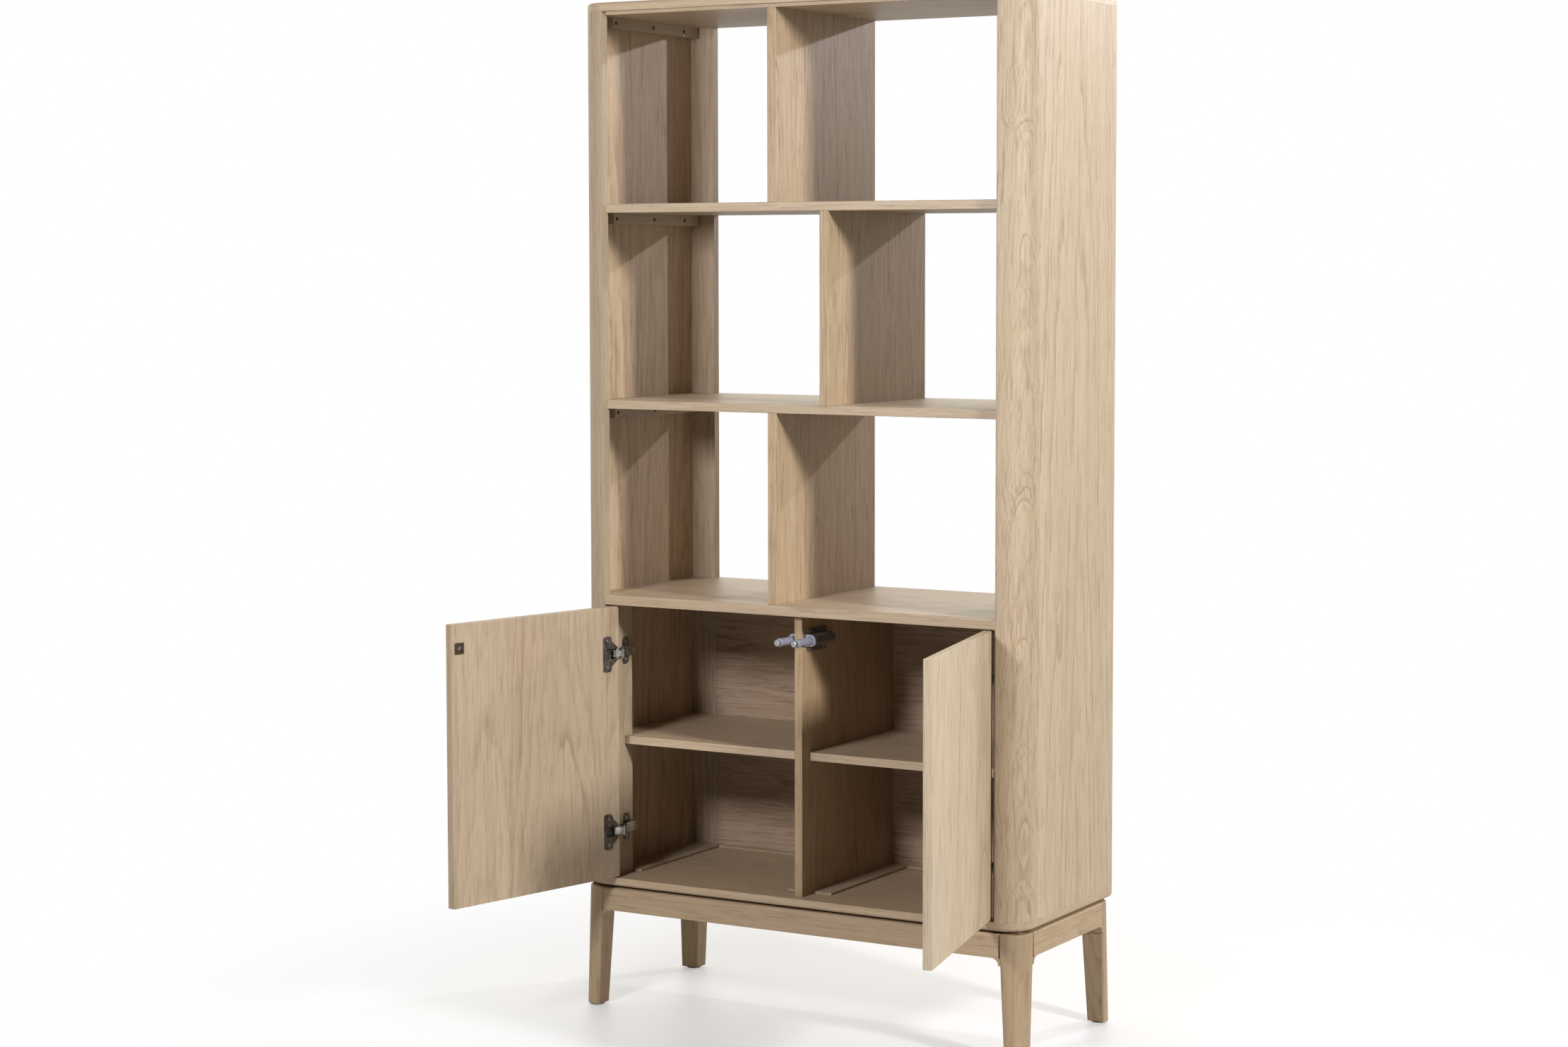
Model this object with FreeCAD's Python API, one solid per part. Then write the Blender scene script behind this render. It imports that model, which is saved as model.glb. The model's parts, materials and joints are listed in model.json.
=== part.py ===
import FreeCAD, Part
import math
import os

V = FreeCAD.Vector

# Driving sizes in millimetres. X runs along the width, the front faces -Y, Z is up, the floor is Z = 0.
# The case is built about its own centre and moved onto the final origin at the end.

# whole case
case_width = 906.0
case_depth = 372.0
case_height = 1840.0

# top and bottom boards
top_edge_thickness = 16.0
top_field_drop = 6.0
top_edge_round = 6.0
bottom_thickness = 16.0
bottom_underside = 228.0
bottom_edge_round = 7.0
corner_radius = 50.0
rear_corner_radius = 9.0

# posts, sides and rear stiles
post_face = 54.0
post_side = 60.0
post_web = 17.0
side_thickness = 18.0
post_cove = 20.0
stile_width = 51.0
stile_thickness = 17.0

# shelves and dividers
shelf_thickness = 16.0
cabinet_top_thickness = 18.0
cabinet_clear = 504.0
row_clear = 340.0
shelf_recess = 12.0
divider_thickness = 17.5
outer_row_divider_x = -50.0
middle_row_divider_x = 56.0
centre_divider_thickness = 15.5
centre_divider_recess = 18.0
inner_shelf_thickness = 15.0
inner_shelf_drop = 247.0
inner_shelf_recess = 44.0
inner_shelf_play = 1.0
shelf_edge_round = 3.0
board_edge_ease = 1.0

# back panel, cleats and battens
back_thickness = 12.0
back_rebate = 1.0
cleat_size = 20.0
cleat_end_gap = 22.0
cleat_screw_front_gap = 10.0
cleat_screw_rear_gap = 50.0
cleat_screw_bite = 12.0
batten_thickness = 4.0
side_batten_width = 66.0
middle_batten_width = 37.0
rear_batten_width = 13.0
middle_batten_setback = 14.0

# filler stiles that carry the hinges
hinge_stile_face = 66.0
hinge_stile_front = 20.0
hinge_stile_rear = 70.0

# doors
door_thickness = 16.0
door_side_gap = 2.0
door_middle_gap = 2.0
door_bottom_gap = 2.0
door_top_gap = 2.5
door_open_angle = 103.0
pivot_inset = 7.9
pivot_depth = 2.0

# cup hinges
hinge_end_distance = 86.0
cup_edge_distance = 21.5
cup_radius = 17.5
cup_depth = 11.0
cup_wall = 1.0
flange_length = 65.0
flange_thickness = 1.2
flange_screw_spacing = 48.0
flange_screw_offset = 6.0
flange_far_edge = 18.5
flange_near_edge = 18.5
flange_lobe_edge = 2.0
flange_lobe_foot = 24.0
flange_waist = 10.5
flange_lobe_round = 4.5
flange_slot_end = 11.0
flange_slot_play = 1.0
nose_inset = 33.0
nose_depth = 9.0
link_length = 17.0
link_thickness = 1.6
link_play = 0.3
barrel_radius = 2.4
hinge_pin_radius = 1.2
link_ratio = 0.47
arm_thickness = 1.6
arm_half_height = 8.5
arm_tail = 68.0
arm_rise = 9.0
plate_thickness = 2.0
plate_half_height = 25.0
plate_screw_half_spacing = 16.0
plate_setback = 46.0
plate_screw_length = 16.0
arm_screw_head_radius = 3.2
arm_crank = 34.0
arm_neck = 14.0
arm_cheek_drop = 6.0
wing_width = 20.0
ridge_play = 0.2
cap_length = 22.0
cap_thickness = 2.0

# push latches and strike plates
latch_drop = 45.0
latch_axis_offset = 9.5
plunger_radius = 7.0
plunger_play = 0.4
housing_half_height = 10.5
housing_front = 30.0
housing_length = 74.0
housing_base_half_height = 20.0
housing_base_inset = 6.0
housing_wall = 4.0
housing_round = 9.0
spring_room = 3.0
latch_screw_inset = 14.0
latch_screw_offset = 15.0
housing_base_thickness = 3.0
plunger_tip_front = -28.0
magnet_radius = 5.5
magnet_length = 7.0
magnet_tail = 3.0
strike_size = 20.0
strike_thickness = 1.4
strike_clearance = 0.4

# base
leg_top = 46.0
leg_bottom = 35.0
leg_top_radius = 40.0
leg_bottom_radius = 24.0
leg_small_radius = 4.0
glide_height = 3.0
glide_radius = 13.0
rail_height = 42.0
rail_thickness = 20.0
spacer_height = 4.0
spacer_recess = 14.0
spacer_width = 30.0
gusset_radius = 13.0
base_edge_round = 3.0
glide_inset = 1.0
base_screw_share = 0.6
base_screw_inset = 17.0

# screws, dowels and pins
screw_head_radius = 3.6
screw_shank_radius = 1.8
screw_slot = 0.9
small_screw_head_radius = 3.0
small_screw_shank_radius = 1.5
case_screw_reach = 40.0
case_screw_gap = 45.0
dowel_radius = 4.0
dowel_bite = 10.0
dowel_reach = 22.0
divider_dowel_gap = 60.0
leg_dowel_length = 40.0
leg_dowel_reach = 24.0
pin_radius = 2.5
pin_bite = 8.0
pin_reach = 11.0
centre_pin_bite = 6.0
pin_tab_drop = 9.0
pin_tab_width = 7.0
pin_tab_thickness = 2.0
pin_front_gap = 40.0
pin_rear_gap = 50.0

# sizes that follow from the driving sizes
half = case_width / 2.0
front = -case_depth / 2.0
rear = case_depth / 2.0
board_top = bottom_underside + bottom_thickness
cabinet_ceiling = board_top + cabinet_clear
z_lower_row = cabinet_ceiling + cabinet_top_thickness
z_middle_shelf = z_lower_row + row_clear
z_middle_row = z_middle_shelf + shelf_thickness
z_upper_shelf = z_middle_row + row_clear
z_top_row = z_upper_shelf + shelf_thickness
side_top = case_height - top_edge_thickness
ceiling = side_top - top_field_drop
wall = half - side_thickness
opening = half - post_face
back_front = rear - stile_thickness + back_rebate
leg_height = bottom_underside - spacer_height
rail_bottom = leg_height - rail_height
door_bottom = board_top + door_bottom_gap
door_top = cabinet_ceiling - door_top_gap
door_edge_x = -opening + door_side_gap
pivot = V(door_edge_x + pivot_inset, front + pivot_depth, 0)
hinge_heights = [door_bottom + hinge_end_distance, door_top - hinge_end_distance]
inner_shelf_top = cabinet_ceiling - inner_shelf_drop
inner_shelf_bottom = inner_shelf_top - inner_shelf_thickness
cup_x = door_edge_x + cup_edge_distance
inner_face = front + door_thickness
nose = V(-opening + nose_inset, front + nose_depth, 0)
stile_face_x = -half + hinge_stile_face
link_half_height = arm_half_height - arm_thickness - link_play
latch_x = -(centre_divider_thickness / 2.0 + latch_axis_offset)
latch_height = cabinet_ceiling - latch_drop


def box(x0, x1, y0, y1, z0, z1):
    return Part.makeBox(x1 - x0, y1 - y0, z1 - z0, V(x0, y0, z0))


def mirrored(shape):
    return shape.mirror(V(0, 0, 0), V(1, 0, 0))


def turned(shape, centre, angle):
    copy = shape.copy()
    copy.rotate(centre, V(0, 0, 1), angle)
    return copy


def group(shapes):
    return Part.makeCompound(shapes)


def rounded_outline(x0, x1, y0, y1, radii, z):
    # corners in the order front left, front right, rear right, rear left
    fl, fr, rr, rl = [max(r, 0.2) for r in radii]
    k = math.sqrt(0.5)
    edges = []

    def line(a, b):
        if a.distanceToPoint(b) > 1e-6:
            edges.append(Part.makeLine(a, b))

    def arc(a, m, b):
        edges.append(Part.Arc(a, m, b).toShape())

    p = [V(x0 + fl, y0, z), V(x1 - fr, y0, z), V(x1, y0 + fr, z), V(x1, y1 - rr, z)]
    p += [V(x1 - rr, y1, z), V(x0 + rl, y1, z), V(x0, y1 - rl, z), V(x0, y0 + fl, z)]
    line(p[0], p[1])
    arc(p[1], V(x1 - fr + fr * k, y0 + fr - fr * k, z), p[2])
    line(p[2], p[3])
    arc(p[3], V(x1 - rr + rr * k, y1 - rr + rr * k, z), p[4])
    line(p[4], p[5])
    arc(p[5], V(x0 + rl - rl * k, y1 - rl + rl * k, z), p[6])
    line(p[6], p[7])
    arc(p[7], V(x0 + fl - fl * k, y0 + fl - fl * k, z), p[0])
    return Part.Wire(edges)


def slab(wire, height):
    return Part.Face(wire).extrude(V(0, 0, height))


def ease(shape, radius, chosen):
    edges = [e for e in shape.Edges if chosen(e)]
    if radius <= 0 or not edges:
        return shape
    return shape.makeFillet(radius, edges)


def edge_along(axis, spots, tolerance=0.01):
    # picks straight edges along an axis whose other coordinates match one of the spots
    def chosen(edge):
        if len(edge.Vertexes) != 2:
            return False
        a = edge.Vertexes[0].Point
        b = edge.Vertexes[1].Point
        d = b.sub(a)
        if d.Length < tolerance or abs(abs(d[axis]) - d.Length) > tolerance:
            return False
        others = [i for i in range(3) if i != axis]
        for spot in spots:
            if all(abs(a[i] - s) < tolerance for i, s in zip(others, spot)):
                return True
        return False
    return chosen


def wood_screw(head, direction, length, head_radius=screw_head_radius, shank=screw_shank_radius):
    # countersunk screw whose flat head lies at the given point and points along the direction
    cone_length = head_radius - shank
    cone = Part.makeCone(head_radius, shank, cone_length, head, direction)
    start = head.add(V(direction).normalize().multiply(cone_length))
    body = Part.makeCylinder(shank, length - cone_length, start, direction)
    return cone.fuse(body).removeSplitter()


def slotted(screw, head, direction, size):
    # cross recess in the head
    d = V(direction).normalize()
    side = V(0, 0, 1) if abs(d.z) < 0.5 else V(1, 0, 0)
    other = d.cross(side)
    depth = screw_slot
    result = screw
    for a, b in ((side, other), (other, side)):
        corner = head.sub(V(a).multiply(size * 0.6)).sub(V(b).multiply(size * 0.12))
        wire = Part.makePolygon([
            corner,
            corner.add(V(a).multiply(size * 1.2)),
            corner.add(V(a).multiply(size * 1.2)).add(V(b).multiply(size * 0.24)),
            corner.add(V(b).multiply(size * 0.24)),
            corner])
        result = result.cut(Part.Face(wire).extrude(V(d).multiply(depth)))
    return result


def dowel(base, direction, length):
    return Part.makeCylinder(dowel_radius, length, base, direction)


def cut_all(shape, tools):
    for tool in tools:
        shape = shape.cut(tool)
    return shape


nodes = {}


# top panel
top_panel = slab(rounded_outline(-half, half, front, rear,
                                 [corner_radius, corner_radius, rear_corner_radius, rear_corner_radius],
                                 side_top), top_edge_thickness)
top_rim = [e for e in top_panel.Edges
           if all(abs(v.Point.z - case_height) < 0.01 for v in e.Vertexes)
           and min(v.Point.y for v in e.Vertexes) < rear - rear_corner_radius / 2.0]
top_panel = top_panel.makeFillet(top_edge_round, top_rim)
top_field = box(-wall, wall, front + post_web, rear, ceiling, side_top)

# front post: quarter round outside, flat web and cove inside
post_bottom = board_top
post_length = side_top - post_bottom
k45 = math.sqrt(0.5)
web_rear = front + post_web
post_rear = front + post_side
cove_centre = V(-wall + post_cove, web_rear + post_cove, post_bottom)
post_points = {
    "a": V(-half + corner_radius, front, post_bottom),
    "b": V(-opening, front, post_bottom),
    "c": V(-opening, web_rear, post_bottom),
    "d": V(-wall + post_cove, web_rear, post_bottom),
    "e": V(-wall, web_rear + post_cove, post_bottom),
    "f": V(-wall, post_rear, post_bottom),
    "g": V(-half, post_rear, post_bottom),
    "h": V(-half, front + corner_radius, post_bottom),
}
post_edges = [
    Part.makeLine(post_points["a"], post_points["b"]),
    Part.makeLine(post_points["b"], post_points["c"]),
    Part.makeLine(post_points["c"], post_points["d"]),
    Part.Arc(post_points["d"], cove_centre.add(V(-post_cove * k45, -post_cove * k45, 0)),
             post_points["e"]).toShape(),
    Part.makeLine(post_points["e"], post_points["f"]),
    Part.makeLine(post_points["f"], post_points["g"]),
    Part.makeLine(post_points["g"], post_points["h"]),
    Part.Arc(post_points["h"],
             V(-half + corner_radius * (1 - k45), front + corner_radius * (1 - k45), post_bottom),
             post_points["a"]).toShape(),
]
left_post = slab(Part.Wire(post_edges), post_length)
right_post = mirrored(left_post)
top_field = cut_all(top_field, [left_post, right_post])
front_lip = box(-opening, opening, front + shelf_recess, web_rear, ceiling, side_top)
top_panel = top_panel.fuse(top_field.fuse(front_lip)).removeSplitter()

# side panel
left_side = box(-half, -wall, post_rear, rear, board_top, side_top)
left_side = ease(left_side, rear_corner_radius, edge_along(2, [(-half, rear)]))
right_side = mirrored(left_side)

# rear stile
left_stile = box(-wall, -wall + stile_width, rear - stile_thickness, rear, board_top, ceiling)
left_stile = ease(left_stile, board_edge_ease,
                  edge_along(2, [(-wall + stile_width, rear), (-wall + stile_width, rear - stile_thickness)]))
right_stile = mirrored(left_stile)
corner_parts = [left_post, right_post, left_stile, right_stile]

# bottom board
bottom_board = slab(rounded_outline(-half, half, front, rear,
                                    [corner_radius, corner_radius, rear_corner_radius, rear_corner_radius],
                                    bottom_underside), bottom_thickness)
bottom_rim = [e for e in bottom_board.Edges
              if all(abs(v.Point.z - bottom_underside) < 0.01 for v in e.Vertexes)]
bottom_board = bottom_board.makeFillet(bottom_edge_round, bottom_rim)


def open_shelf(z):
    shelf = box(-wall, wall, front + shelf_recess, rear, z, z + shelf_thickness)
    shelf = cut_all(shelf, corner_parts)
    return ease(shelf, board_edge_ease, edge_along(0, [(front + shelf_recess, z),
                                                       (front + shelf_recess, z + shelf_thickness)]))


upper_shelf = open_shelf(z_upper_shelf)
middle_shelf = open_shelf(z_middle_shelf)

# shelf over the cabinet, flush with the posts
cabinet_top = box(-wall, wall, front, rear, cabinet_ceiling, z_lower_row)
cabinet_top = cabinet_top.cut(box(-half, -opening, front - 1, web_rear, cabinet_ceiling - 1, z_lower_row + 1))
cabinet_top = cabinet_top.cut(box(opening, half, front - 1, web_rear, cabinet_ceiling - 1, z_lower_row + 1))
cabinet_top = cut_all(cabinet_top, corner_parts)
cabinet_top = ease(cabinet_top, shelf_edge_round, edge_along(0, [(front, z_lower_row)]))
cabinet_top = ease(cabinet_top, board_edge_ease, edge_along(0, [(front, cabinet_ceiling)]))


def divider(x, z0, z1, y0, y1, thickness):
    board = box(x - thickness / 2.0, x + thickness / 2.0, y0, y1, z0, z1)
    return ease(board, board_edge_ease, edge_along(2, [(x - thickness / 2.0, y0), (x + thickness / 2.0, y0)]))


row_front = front + shelf_recess
lower_row_divider = divider(outer_row_divider_x, z_lower_row, z_middle_shelf, row_front, rear, divider_thickness)
middle_row_divider = divider(middle_row_divider_x, z_middle_row, z_upper_shelf, row_front, rear, divider_thickness)
top_row_divider = divider(outer_row_divider_x, z_top_row, ceiling, row_front, rear, divider_thickness)
centre_front = front + centre_divider_recess
centre_divider = divider(0.0, board_top, cabinet_ceiling, centre_front, back_front, centre_divider_thickness)

# back panel of the cabinet
back_panel = box(-wall + stile_width, wall - stile_width, back_front, back_front + back_thickness,
                 board_top, cabinet_ceiling)

# filler stile that brings the hinge plates level with the doors
left_filler = box(-wall, stile_face_x, front + hinge_stile_front, front + hinge_stile_rear,
                  board_top, cabinet_ceiling)
left_filler = left_filler.cut(left_post)
left_filler = ease(left_filler, board_edge_ease, edge_along(2, [(stile_face_x, front + hinge_stile_front),
                                                               (stile_face_x, front + hinge_stile_rear)]))
right_filler = mirrored(left_filler)

# floor battens of the cabinet
batten_top = board_top + batten_thickness
rear_batten_front = rear - stile_thickness - rear_batten_width
left_batten = box(-wall, -wall + side_batten_width, front + hinge_stile_rear, rear_batten_front,
                  board_top, batten_top)
right_batten = mirrored(left_batten)
batten_x = centre_divider_thickness / 2.0
middle_batten_front = front + inner_shelf_recess + middle_batten_setback
left_middle_batten = box(-batten_x - middle_batten_width, -batten_x, middle_batten_front, rear_batten_front,
                         board_top, batten_top)
right_middle_batten = mirrored(left_middle_batten)
left_rear_batten = box(-wall, -batten_x, rear_batten_front, rear - stile_thickness, board_top, batten_top)
right_rear_batten = mirrored(left_rear_batten)

# cleats under the top and the two open shelves
cleat_front = post_rear
cleat_rear = rear - cleat_end_gap
cleat_inner = -wall + cleat_size
cleat_ys = [cleat_front + cleat_screw_front_gap, (cleat_front + cleat_rear) / 2.0 - cleat_screw_front_gap,
            cleat_rear - cleat_screw_rear_gap]
cleat_names = {"top": ceiling, "upper_shelf": z_upper_shelf, "middle_shelf": z_middle_shelf}
cleats = {}
cleat_screws = []
cleat_cutters = []
for name, under in cleat_names.items():
    bar = box(-wall, cleat_inner, cleat_front, cleat_rear, under - cleat_size, under)
    bar = ease(bar, board_edge_ease, edge_along(1, [(cleat_inner, under - cleat_size)]))
    for y in cleat_ys:
        head = V(cleat_inner, y, under - cleat_size / 2.0)
        screw = wood_screw(head, V(-1, 0, 0), cleat_size + cleat_screw_bite)
        bar = bar.cut(screw)
        left_side = left_side.cut(screw)
        cleat_cutters.append(screw)
        cleat_screws.append(slotted(screw, head, V(-1, 0, 0), screw_head_radius))
    cleats[name + "_cleats"] = group([bar, mirrored(bar)])
cleat_screws += [mirrored(s) for s in cleat_screws]

# dowels of the dividers
divider_dowels = []


def divider_joint(board, lower, upper, x, z0, z1, y0, y1):
    for y in (y0 + divider_dowel_gap, y1 - divider_dowel_gap):
        for z, sign, partner in ((z0, 1, "lower"), (z1, -1, "upper")):
            peg = dowel(V(x, y, z - sign * dowel_bite), V(0, 0, sign), dowel_bite + dowel_reach)
            divider_dowels.append(peg)
            board = board.cut(peg)
            if partner == "lower":
                lower = lower.cut(peg)
            else:
                upper = upper.cut(peg)
    return board, lower, upper


top_row_divider, upper_shelf, top_panel = divider_joint(
    top_row_divider, upper_shelf, top_panel, outer_row_divider_x, z_top_row, ceiling, row_front, rear)
middle_row_divider, middle_shelf, upper_shelf = divider_joint(
    middle_row_divider, middle_shelf, upper_shelf, middle_row_divider_x, z_middle_row, z_upper_shelf, row_front, rear)
lower_row_divider, cabinet_top, middle_shelf = divider_joint(
    lower_row_divider, cabinet_top, middle_shelf, outer_row_divider_x, z_lower_row, z_middle_shelf, row_front, rear)
centre_divider, bottom_board, cabinet_top = divider_joint(
    centre_divider, bottom_board, cabinet_top, 0.0, board_top, cabinet_ceiling, centre_front, back_front)

# screws up through the bottom board and dowels down from the top panel
case_screws = []
case_dowels = []
edge_x = half - side_thickness * 0.6
for x in (-edge_x, edge_x):
    for y in (front + case_screw_gap + screw_head_radius, 0.0, rear - case_screw_gap):
        head = V(x, y, bottom_underside)
        screw = wood_screw(head, V(0, 0, 1), bottom_thickness + case_screw_reach)
        case_screws.append(slotted(screw, head, V(0, 0, 1), screw_head_radius))
        bottom_board = bottom_board.cut(screw)
        left_side = left_side.cut(screw)
        right_side = right_side.cut(screw)
        left_post = left_post.cut(screw)
        right_post = right_post.cut(screw)
        peg = dowel(V(x, y, side_top - dowel_reach), V(0, 0, 1), dowel_reach + dowel_bite)
        case_dowels.append(peg)
        top_panel = top_panel.cut(peg)
        left_side = left_side.cut(peg)
        right_side = right_side.cut(peg)
        left_post = left_post.cut(peg)
        right_post = right_post.cut(peg)
for screw in cleat_cutters:
    right_side = right_side.cut(mirrored(screw))

# inner shelves of the cabinet
shelf_front = front + inner_shelf_recess
shelf_left = stile_face_x + inner_shelf_play
shelf_right = -centre_divider_thickness / 2.0 - inner_shelf_play
left_inner_shelf = box(-wall + inner_shelf_play, shelf_right, shelf_front, rear - stile_thickness - 1.0,
                       inner_shelf_bottom, inner_shelf_top)
notch = box(-wall, shelf_left, shelf_front - 1.0, front + hinge_stile_rear + inner_shelf_play,
            inner_shelf_bottom - 1.0, inner_shelf_top + 1.0)
left_inner_shelf = left_inner_shelf.cut(notch)
left_inner_shelf = ease(left_inner_shelf, board_edge_ease,
                        edge_along(0, [(shelf_front, inner_shelf_top), (shelf_front, inner_shelf_bottom)]))
right_inner_shelf = mirrored(left_inner_shelf)

# shelf pins: a peg in the board and a flat tab, the shelf rests on the peg
left_pins = []
pin_z = inner_shelf_bottom - pin_radius
pin_ys = [front + hinge_stile_rear + pin_front_gap, rear - stile_thickness - pin_rear_gap]
for y in pin_ys:
    outer = Part.makeCylinder(pin_radius, pin_bite + pin_reach, V(-wall - pin_bite, y, pin_z), V(1, 0, 0))
    inner = Part.makeCylinder(pin_radius, centre_pin_bite + pin_reach,
                              V(-centre_divider_thickness / 2.0 - pin_reach, y, pin_z), V(1, 0, 0))
    tab_bottom = inner_shelf_bottom - pin_tab_drop - pin_radius
    y0 = y - pin_tab_width / 2.0
    y1 = y + pin_tab_width / 2.0
    outer_tab = box(-wall, -wall + pin_tab_thickness, y0, y1, tab_bottom, inner_shelf_bottom)
    inner_tab = box(-batten_x - pin_tab_thickness, -batten_x, y0, y1, tab_bottom, inner_shelf_bottom)
    left_pins += [outer.fuse(outer_tab).removeSplitter(), inner.fuse(inner_tab).removeSplitter()]
right_pins = [mirrored(pin) for pin in left_pins]
for pin in left_pins:
    left_side = left_side.cut(pin)
    centre_divider = centre_divider.cut(pin)
for pin in right_pins:
    right_side = right_side.cut(pin)
    centre_divider = centre_divider.cut(pin)
shelf_pins = left_pins + right_pins

# door in the closed place, then turned open about its pivot
door_free_x = -door_middle_gap / 2.0
left_door = box(door_edge_x, door_free_x, front, inner_face, door_bottom, door_top)
left_door = ease(left_door, board_edge_ease, lambda e: True)
cups = []
door_screws = []
for z in hinge_heights:
    bore = Part.makeCylinder(cup_radius, cup_depth, V(cup_x, inner_face - cup_depth, z), V(0, 1, 0))
    hollow = Part.makeCylinder(cup_radius - cup_wall, cup_depth, V(cup_x, inner_face - cup_depth + cup_wall, z),
                               V(0, 1, 0))
    left_door = left_door.cut(bore)
    # stamped flange: two screw lobes, a waist that widens over the cup, and a slot for arm and link
    far = cup_x + flange_far_edge
    near = cup_x - flange_near_edge
    lobe = cup_x - flange_lobe_edge
    tip = flange_length / 2.0
    outline = [V(far, inner_face, z + tip), V(lobe, inner_face, z + tip),
               V(lobe, inner_face, z + flange_lobe_foot), V(near, inner_face, z + flange_waist),
               V(near, inner_face, z - flange_waist), V(lobe, inner_face, z - flange_lobe_foot),
               V(lobe, inner_face, z - tip), V(far, inner_face, z - tip)]
    flange = Part.Face(Part.makePolygon(outline + [outline[0]])).extrude(V(0, flange_thickness, 0))
    lobe_corners = [(x, z + side * tip) for x in (far, lobe) for side in (-1, 1)]
    flange = ease(flange, flange_lobe_round, edge_along(1, lobe_corners))
    slot_half = arm_half_height + flange_slot_play
    flange = flange.cut(box(near - 1.0, cup_x + flange_slot_end, inner_face - 1.0,
                            inner_face + flange_thickness + 1.0, z - slot_half, z + slot_half))
    cup = bore.cut(hollow).fuse(flange)
    cup = cup.removeSplitter()
    for side in (-1, 1):
        head = V(cup_x + flange_screw_offset, inner_face + flange_thickness,
                 z + side * flange_screw_spacing / 2.0)
        screw = wood_screw(head, V(0, -1, 0), door_thickness * 0.75)
        cup = cup.cut(screw)
        left_door = left_door.cut(screw)
        door_screws.append(slotted(screw, head, V(0, -1, 0), screw_head_radius))
    cups.append(cup)

# strike plate on the inner face of the door
strike_y = inner_face + strike_thickness
strike = box(latch_x - strike_size / 2.0, latch_x + strike_size / 2.0, inner_face, strike_y,
             latch_height - strike_size / 2.0, latch_height + strike_size / 2.0)
strike_corners = [(latch_x + a * strike_size / 2.0, latch_height + b * strike_size / 2.0)
                  for a in (-1, 1) for b in (-1, 1)]
strike = ease(strike, 2.0, edge_along(1, strike_corners))
strike_head = V(latch_x, strike_y, latch_height)
strike_screw = wood_screw(strike_head, V(0, -1, 0), door_thickness * 0.75, small_screw_head_radius,
                          small_screw_shank_radius)
strike = strike.cut(strike_screw)
left_door = left_door.cut(strike_screw)
door_screws.append(slotted(strike_screw, strike_head, V(0, -1, 0), small_screw_head_radius))

left_door_parts = {
    "left_door": left_door,
    "left_hinge_cups": group(cups),
    "left_door_screws": group(door_screws),
    "left_strike_plate": strike,
}
for name, shape in left_door_parts.items():
    opened = turned(shape, pivot, -door_open_angle)
    nodes[name] = opened
    nodes[name.replace("left", "right")] = mirrored(opened)

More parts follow.
